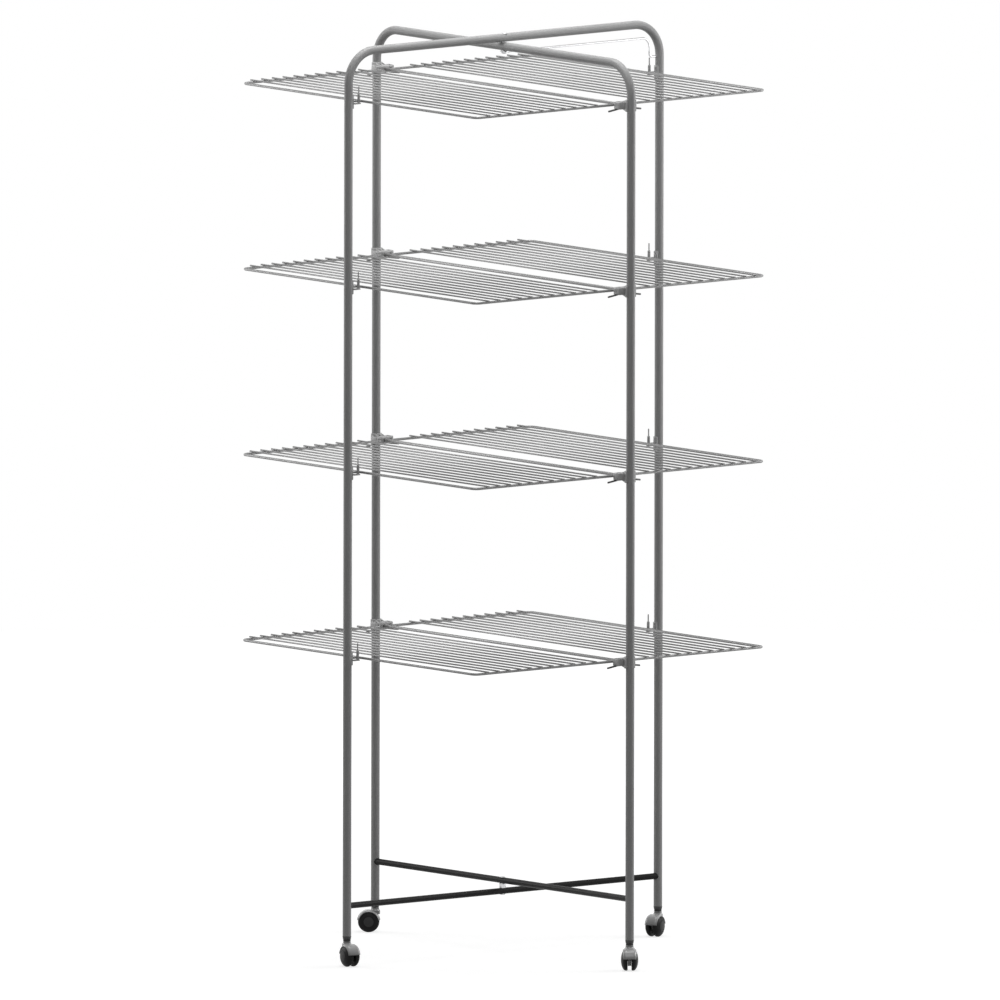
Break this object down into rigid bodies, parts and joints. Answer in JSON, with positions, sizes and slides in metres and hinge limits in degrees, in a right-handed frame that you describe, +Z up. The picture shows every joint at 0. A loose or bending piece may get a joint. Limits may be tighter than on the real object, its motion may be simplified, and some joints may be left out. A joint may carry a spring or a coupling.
{
  "type": "tower clothes airer",
  "caption": "Folding tower clothes airer: crossed upright tube frames on twin-wheel casters, carrying tiers of hinged wire racks that drop as the frames fold flat.",
  "frame": {"origin": "on the floor, under the vertical axis that both frames cross at", "axes": "+Z up, +X along the inner frame from its left post to its right post, +Y along the outer frame from its front post to its back post"},
  "size_m": [0.8111, 0.7818, 1.7226],
  "materials": {
    "inner_tube": "satin mid-grey metallic powder coat",
    "outer_tube": "satin mid-grey metallic powder coat",
    "lower_bar": "satin near-black powder coat",
    "rack_wire": "light grey coated wire",
    "rod": "satin mid-grey",
    "catch": "moulded matte grey",
    "bracket": "moulded matte light grey",
    "zinc": "zinc plated",
    "black_plastic": "moulded matte",
    "black_steel": "blackened steel",
    "hood_plastic": "moulded satin gloss, mid-grey",
    "wheel_plastic": "moulded matte"
  },
  "bodies": {
    "inner_frame": {"inner_frame_tube": "inner_tube", "inner_lower_bar": "lower_bar", "top_pivot_rivet": "zinc", "lower_pivot_rivet": "zinc", "tier1_centre_rod": "rod", "tier1_hinge_right": "bracket", "tier1_hinge_left": "bracket", "tier2_centre_rod": "rod", "tier2_hinge_right": "bracket", "tier2_hinge_left": "bracket", "tier3_centre_rod": "rod", "tier3_hinge_right": "bracket", "tier3_hinge_left": "bracket", "tier4_centre_rod": "rod", "tier4_hinge_right": "bracket", "tier4_hinge_left": "bracket", "plug_left": "black_plastic", "plug_right": "black_plastic"},
    "outer_frame": {"outer_frame_tube": "outer_tube", "outer_lower_bar": "lower_bar", "hanger_wire": "zinc", "tier1_catch_back": "catch", "tier1_catch_front": "catch", "tier2_catch_back": "catch", "tier2_catch_front": "catch", "tier3_catch_back": "catch", "tier3_catch_front": "catch", "tier4_catch_back": "catch", "tier4_catch_front": "catch", "plug_front": "black_plastic", "plug_back": "black_plastic"},
    "rack_1_back": {"tier1_rack_back": "rack_wire"},
    "rack_1_front": {"tier1_rack_front": "rack_wire"},
    "rack_2_back": {"tier2_rack_back": "rack_wire"},
    "rack_2_front": {"tier2_rack_front": "rack_wire"},
    "rack_3_back": {"tier3_rack_back": "rack_wire"},
    "rack_3_front": {"tier3_rack_front": "rack_wire"},
    "rack_4_back": {"tier4_rack_back": "rack_wire"},
    "rack_4_front": {"tier4_rack_front": "rack_wire"},
    "swivel_front": {"caster_front_stem": "black_steel", "caster_front_hood": "hood_plastic", "caster_front_axle": "zinc"},
    "swivel_back": {"caster_back_stem": "black_steel", "caster_back_hood": "hood_plastic", "caster_back_axle": "zinc"},
    "swivel_left": {"caster_left_stem": "black_steel", "caster_left_hood": "hood_plastic", "caster_left_axle": "zinc"},
    "swivel_right": {"caster_right_stem": "black_steel", "caster_right_hood": "hood_plastic", "caster_right_axle": "zinc"},
    "wheel_front_a": {"caster_front_wheel_a": "wheel_plastic"},
    "wheel_front_b": {"caster_front_wheel_b": "wheel_plastic"},
    "wheel_back_a": {"caster_back_wheel_a": "wheel_plastic"},
    "wheel_back_b": {"caster_back_wheel_b": "wheel_plastic"},
    "wheel_left_a": {"caster_left_wheel_a": "wheel_plastic"},
    "wheel_left_b": {"caster_left_wheel_b": "wheel_plastic"},
    "wheel_right_a": {"caster_right_wheel_a": "wheel_plastic"},
    "wheel_right_b": {"caster_right_wheel_b": "wheel_plastic"}
  },
  "joints": [
    {"name": "frame_fold", "type": "hinge", "parent": "inner_frame", "child": "outer_frame", "pos_m": [0, 0, 0.9], "axis": [0, 0, 1], "range_deg": [0, 77]},
    {"name": "rack_1_back_hinge", "type": "hinge", "parent": "inner_frame", "child": "rack_1_back", "pos_m": [0, 0.014, 0.5764], "axis": [-1, 0, 0], "range_deg": [0, 90]},
    {"name": "rack_1_front_hinge", "type": "hinge", "parent": "inner_frame", "child": "rack_1_front", "pos_m": [0, -0.014, 0.5764], "axis": [1, 0, 0], "range_deg": [0, 90]},
    {"name": "rack_2_back_hinge", "type": "hinge", "parent": "inner_frame", "child": "rack_2_back", "pos_m": [0, 0.014, 0.9244], "axis": [-1, 0, 0], "range_deg": [0, 90]},
    {"name": "rack_2_front_hinge", "type": "hinge", "parent": "inner_frame", "child": "rack_2_front", "pos_m": [0, -0.014, 0.9244], "axis": [1, 0, 0], "range_deg": [0, 90]},
    {"name": "rack_3_back_hinge", "type": "hinge", "parent": "inner_frame", "child": "rack_3_back", "pos_m": [0, 0.014, 1.2724], "axis": [-1, 0, 0], "range_deg": [0, 90]},
    {"name": "rack_3_front_hinge", "type": "hinge", "parent": "inner_frame", "child": "rack_3_front", "pos_m": [0, -0.014, 1.2724], "axis": [1, 0, 0], "range_deg": [0, 90]},
    {"name": "rack_4_back_hinge", "type": "hinge", "parent": "inner_frame", "child": "rack_4_back", "pos_m": [0, 0.014, 1.6204], "axis": [-1, 0, 0], "range_deg": [0, 90]},
    {"name": "rack_4_front_hinge", "type": "hinge", "parent": "inner_frame", "child": "rack_4_front", "pos_m": [0, -0.014, 1.6204], "axis": [1, 0, 0], "range_deg": [0, 90]},
    {"name": "caster_front_swivel", "type": "hinge", "parent": "outer_frame", "child": "swivel_front", "pos_m": [0, -0.374, 0.05], "axis": [0, 0, 1], "continuous": true},
    {"name": "caster_back_swivel", "type": "hinge", "parent": "outer_frame", "child": "swivel_back", "pos_m": [0, 0.374, 0.05], "axis": [0, 0, 1], "continuous": true},
    {"name": "caster_left_swivel", "type": "hinge", "parent": "inner_frame", "child": "swivel_left", "pos_m": [-0.374, 0, 0.05], "axis": [0, 0, 1], "continuous": true},
    {"name": "caster_right_swivel", "type": "hinge", "parent": "inner_frame", "child": "swivel_right", "pos_m": [0.374, 0, 0.05], "axis": [0, 0, 1], "continuous": true},
    {"name": "wheel_front_a_spin", "type": "hinge", "parent": "swivel_front", "child": "wheel_front_a", "pos_m": [0.01174, -0.3765, 0.02], "axis": [0.2079, 0.9781, 0], "continuous": true},
    {"name": "wheel_front_b_spin", "type": "hinge", "parent": "swivel_front", "child": "wheel_front_b", "pos_m": [0.01174, -0.3765, 0.02], "axis": [0.2079, 0.9781, 0], "continuous": true},
    {"name": "wheel_back_a_spin", "type": "hinge", "parent": "swivel_back", "child": "wheel_back_a", "pos_m": [0.00507, 0.36312, 0.02], "axis": [0.9063, 0.4226, 0], "continuous": true},
    {"name": "wheel_back_b_spin", "type": "hinge", "parent": "swivel_back", "child": "wheel_back_b", "pos_m": [0.00507, 0.36312, 0.02], "axis": [0.9063, 0.4226, 0], "continuous": true},
    {"name": "wheel_left_a_spin", "type": "hinge", "parent": "swivel_left", "child": "wheel_left_a", "pos_m": [-0.38171, -0.00919, 0.02], "axis": [0.766, -0.6428, 0], "continuous": true},
    {"name": "wheel_left_b_spin", "type": "hinge", "parent": "swivel_left", "child": "wheel_left_b", "pos_m": [-0.38171, -0.00919, 0.02], "axis": [0.766, -0.6428, 0], "continuous": true},
    {"name": "wheel_right_a_spin", "type": "hinge", "parent": "swivel_right", "child": "wheel_right_a", "pos_m": [0.38333, -0.00755, 0.02], "axis": [0.6293, 0.7771, 0], "continuous": true},
    {"name": "wheel_right_b_spin", "type": "hinge", "parent": "swivel_right", "child": "wheel_right_b", "pos_m": [0.38333, -0.00755, 0.02], "axis": [0.6293, 0.7771, 0], "continuous": true}
  ],
  "couplings": [
    {"joint": "rack_1_back_hinge", "follows": "frame_fold", "ratio": 1.165},
    {"joint": "rack_1_front_hinge", "follows": "frame_fold", "ratio": 1.165},
    {"joint": "rack_2_back_hinge", "follows": "frame_fold", "ratio": 1.165},
    {"joint": "rack_2_front_hinge", "follows": "frame_fold", "ratio": 1.165},
    {"joint": "rack_3_back_hinge", "follows": "frame_fold", "ratio": 1.165},
    {"joint": "rack_3_front_hinge", "follows": "frame_fold", "ratio": 1.165},
    {"joint": "rack_4_back_hinge", "follows": "frame_fold", "ratio": 1.165},
    {"joint": "rack_4_front_hinge", "follows": "frame_fold", "ratio": 1.165}
  ]
}
